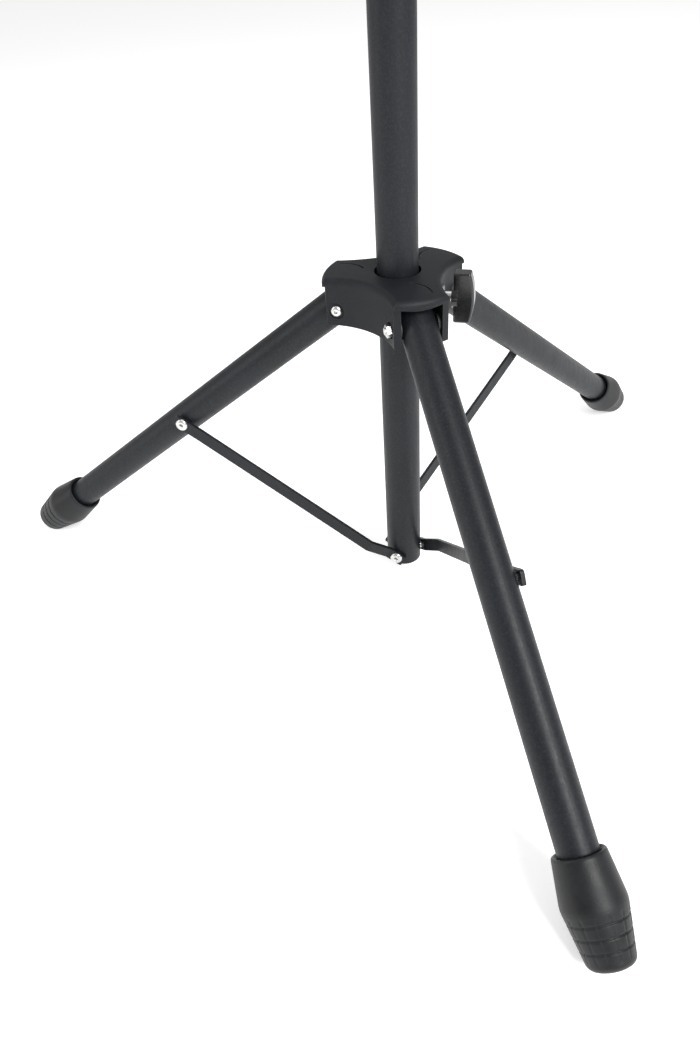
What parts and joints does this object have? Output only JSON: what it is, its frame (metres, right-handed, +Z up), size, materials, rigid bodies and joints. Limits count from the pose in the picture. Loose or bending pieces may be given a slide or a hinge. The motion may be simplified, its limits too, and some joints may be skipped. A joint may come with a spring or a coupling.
{
  "type": "trumpet stand",
  "caption": "Folding tripod stand for a trumpet: a clamped hub slides on a round post, strutted tube legs end in ringed rubber boots, and a telescoping tube carries the bell peg.",
  "frame": {"origin": "on the floor, on the axis of the post", "axes": "+Z up along the post; the front leg points 73 degrees clockwise from +X as seen from above"},
  "size_m": [0.5312, 0.5407, 0.852],
  "materials": {
    "powder_coat": "matte black powder coat with a fine texture",
    "hub_plastic": "moulded black nylon with a fine grain",
    "knob_plastic": "glossy black",
    "boot_rubber": "matte black",
    "bright_steel": "bright zinc plate",
    "inner_plastic": "plain black moulding"
  },
  "bodies": {
    "post": {"post_tube": "powder_coat", "post_end_plug": "inner_plastic", "strut_post_rivets": "bright_steel", "collar_body": "hub_plastic", "collar_screw_insert": "bright_steel"},
    "hub": {"hub_body": "hub_plastic", "hub_screw_insert": "bright_steel", "hub_pivot_bolts": "bright_steel", "hub_pivot_nuts": "bright_steel", "hub_pivot_washers": "inner_plastic"},
    "hub_clamp": {"hub_clamp_screw": "bright_steel", "hub_clamp_knob": "knob_plastic"},
    "mast": {"inner_tube": "powder_coat", "inner_tube_bush": "inner_plastic", "tube_top_plug": "inner_plastic", "peg_stud": "bright_steel", "bell_peg": "hub_plastic", "peg_base_ring": "boot_rubber", "peg_tip_cap": "boot_rubber"},
    "collar_clamp": {"collar_clamp_screw": "bright_steel", "collar_clamp_knob": "knob_plastic"},
    "leg_front": {"leg_tube_front": "powder_coat", "leg_top_plug_front": "inner_plastic", "foot_boot_front": "boot_rubber"},
    "strut_front": {"strut_front": "powder_coat", "strut_leg_rivet_front": "bright_steel"},
    "leg_left": {"leg_tube_left": "powder_coat", "leg_top_plug_left": "inner_plastic", "foot_boot_left": "boot_rubber"},
    "strut_left": {"strut_left": "powder_coat", "strut_leg_rivet_left": "bright_steel"},
    "leg_right": {"leg_tube_right": "powder_coat", "leg_top_plug_right": "inner_plastic", "foot_boot_right": "boot_rubber"},
    "strut_right": {"strut_right": "powder_coat", "strut_leg_rivet_right": "bright_steel"}
  },
  "joints": [
    {"name": "hub_slide", "type": "slide", "parent": "post", "child": "hub", "axis": [0, 0, 1], "range_m": [0, 0.14134]},
    {"name": "hub_clamp_turn", "type": "hinge", "parent": "hub", "child": "hub_clamp", "pos_m": [0, 0, 0.2253], "axis": [0.9744, -0.225, 0], "range_deg": [0, 360]},
    {"name": "height_slide", "type": "slide", "parent": "post", "child": "mast", "axis": [0, 0, 1], "range_m": [-0.179, 0.109]},
    {"name": "collar_clamp_turn", "type": "hinge", "parent": "post", "child": "collar_clamp", "pos_m": [0, 0, 0.505], "axis": [0.9744, -0.225, 0], "range_deg": [0, 360]},
    {"name": "leg_front_hinge", "type": "hinge", "parent": "hub", "child": "leg_front", "pos_m": [0.01023, -0.03347, 0.21962], "axis": [0.9563, 0.2924, 0], "range_deg": [0, 52.5]},
    {"name": "strut_front_hinge", "type": "hinge", "parent": "post", "child": "strut_front", "pos_m": [0.00085, -0.00277, 0.023], "axis": [-0.9563, -0.2924, 0], "range_deg": [0, 46.65]},
    {"name": "leg_left_hinge", "type": "hinge", "parent": "hub", "child": "leg_left", "pos_m": [-0.0341, 0.00787, 0.21962], "axis": [-0.225, -0.9744, 0], "range_deg": [0, 52.5]},
    {"name": "strut_left_hinge", "type": "hinge", "parent": "post", "child": "strut_left", "pos_m": [-0.00283, 0.00065, 0.023], "axis": [0.225, 0.9744, 0], "range_deg": [0, 46.65]},
    {"name": "leg_right_hinge", "type": "hinge", "parent": "hub", "child": "leg_right", "pos_m": [0.02387, 0.0256, 0.21962], "axis": [-0.7314, 0.682, 0], "range_deg": [0, 52.5]},
    {"name": "strut_right_hinge", "type": "hinge", "parent": "post", "child": "strut_right", "pos_m": [0.00198, 0.00212, 0.023], "axis": [0.7314, -0.682, 0], "range_deg": [0, 46.65]}
  ],
  "couplings": [
    {"joint": "leg_front_hinge", "follows": "hub_slide", "rad_per_m": 6.483},
    {"joint": "strut_front_hinge", "follows": "hub_slide", "rad_per_m": 5.7601},
    {"joint": "leg_left_hinge", "follows": "hub_slide", "rad_per_m": 6.483},
    {"joint": "strut_left_hinge", "follows": "hub_slide", "rad_per_m": 5.7601},
    {"joint": "leg_right_hinge", "follows": "hub_slide", "rad_per_m": 6.483},
    {"joint": "strut_right_hinge", "follows": "hub_slide", "rad_per_m": 5.7601}
  ]
}
